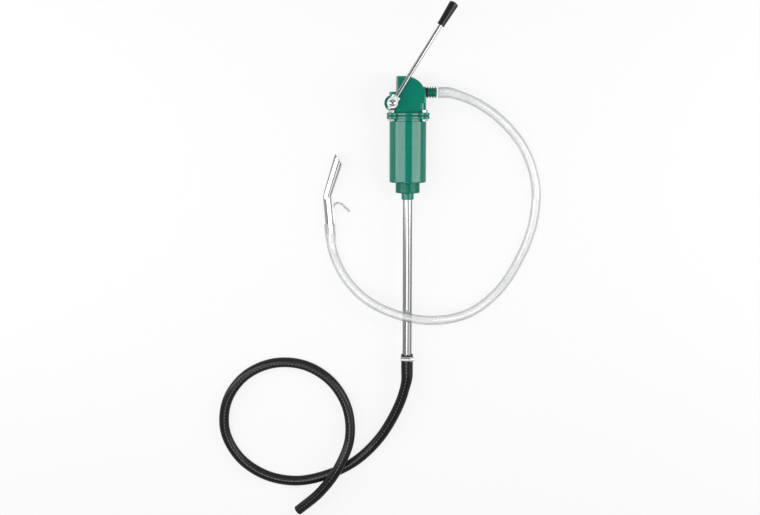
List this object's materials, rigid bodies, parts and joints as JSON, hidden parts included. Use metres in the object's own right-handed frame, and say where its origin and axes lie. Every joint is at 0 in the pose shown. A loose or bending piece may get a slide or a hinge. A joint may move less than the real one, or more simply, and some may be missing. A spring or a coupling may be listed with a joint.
{
  "type": "hand lever barrel pump",
  "caption": "Hand pump for a barrel: green cylinder with a threaded bung neck, side lever, steel suction tube with black hose, and a clear discharge hose ending in a bent spout with a hook.",
  "frame": {"origin": "centre of the bung shoulder, on the pump axis", "axes": "+Y along the pump axis towards the head, +X towards the outlet, +Z away from the floor the pump lies on, out of the lever's face"},
  "size_m": [0.8068, 1.2848, 0.1076],
  "materials": {
    "green_paint": "glossy teal-green enamel on cast aluminium",
    "chrome": "bright plating",
    "steel": "drawn and turned steel",
    "brass": "turned, unpolished",
    "black_rubber": "moulded seal rubber",
    "hose_rubber": "smooth black hose cover with a faint sheen",
    "clear_hose": "clear flexible PVC",
    "grip_plastic": "black moulded grip",
    "milky_plastic": "natural light grey plastic"
  },
  "bodies": {
    "pump_stand": {"head_casting": "green_paint", "cylinder_body": "green_paint", "flange_gasket": "black_rubber", "flange_bolts": "steel", "flange_nuts": "steel", "rod_guide": "brass", "front_bush": "brass", "rear_bush": "brass", "shaft_seal": "black_rubber", "outlet_seal": "black_rubber", "outlet_connector": "green_paint", "hose_tail": "milky_plastic", "discharge_hose": "clear_hose", "spout_tube": "chrome", "spout_hook": "chrome", "bung_adapter": "green_paint", "foot_valve_cage": "brass", "collar_seal": "black_rubber", "tube_collar": "green_paint", "suction_tube": "steel", "suction_hose": "hose_rubber", "clamp_band": "chrome", "clamp_housing": "chrome", "clamp_screw": "chrome"},
    "lever_unit": {"crank_shaft": "steel", "crank_arm": "steel", "arm_pin": "steel", "crank_pin": "steel", "lever_hub": "chrome", "hub_set_screw": "chrome", "hub_bolt": "chrome", "lever_rod": "chrome", "lever_grip": "grip_plastic"},
    "piston_unit": {"piston_rod": "steel", "piston_yoke": "brass", "yoke_pin": "steel", "piston_crown": "milky_plastic", "piston_cup": "black_rubber", "piston_plate": "milky_plastic", "rod_nut": "steel", "valve_stop": "steel"},
    "piston_flap": {"piston_valve": "black_rubber"},
    "foot_valve": {"foot_valve_poppet": "brass"}
  },
  "joints": [
    {"name": "lever_swing", "type": "hinge", "parent": "pump_stand", "child": "lever_unit", "pos_m": [-0.038, 0.191, 0], "axis": [0, 0, 1], "range_deg": [0, 64]},
    {"name": "piston_slide", "type": "slide", "parent": "pump_stand", "child": "piston_unit", "axis": [0, 1, 0], "range_m": [0, 0.0403]},
    {"name": "piston_valve_lift", "type": "slide", "parent": "piston_unit", "child": "piston_flap", "axis": [0, 1, 0], "range_m": [0, 0.004]},
    {"name": "foot_valve_lift", "type": "slide", "parent": "pump_stand", "child": "foot_valve", "axis": [0, 1, 0], "range_m": [0, 0.0048]}
  ],
  "couplings": [
    {"joint": "piston_slide", "follows": "lever_swing", "m_per_rad": 0.036055}
  ]
}
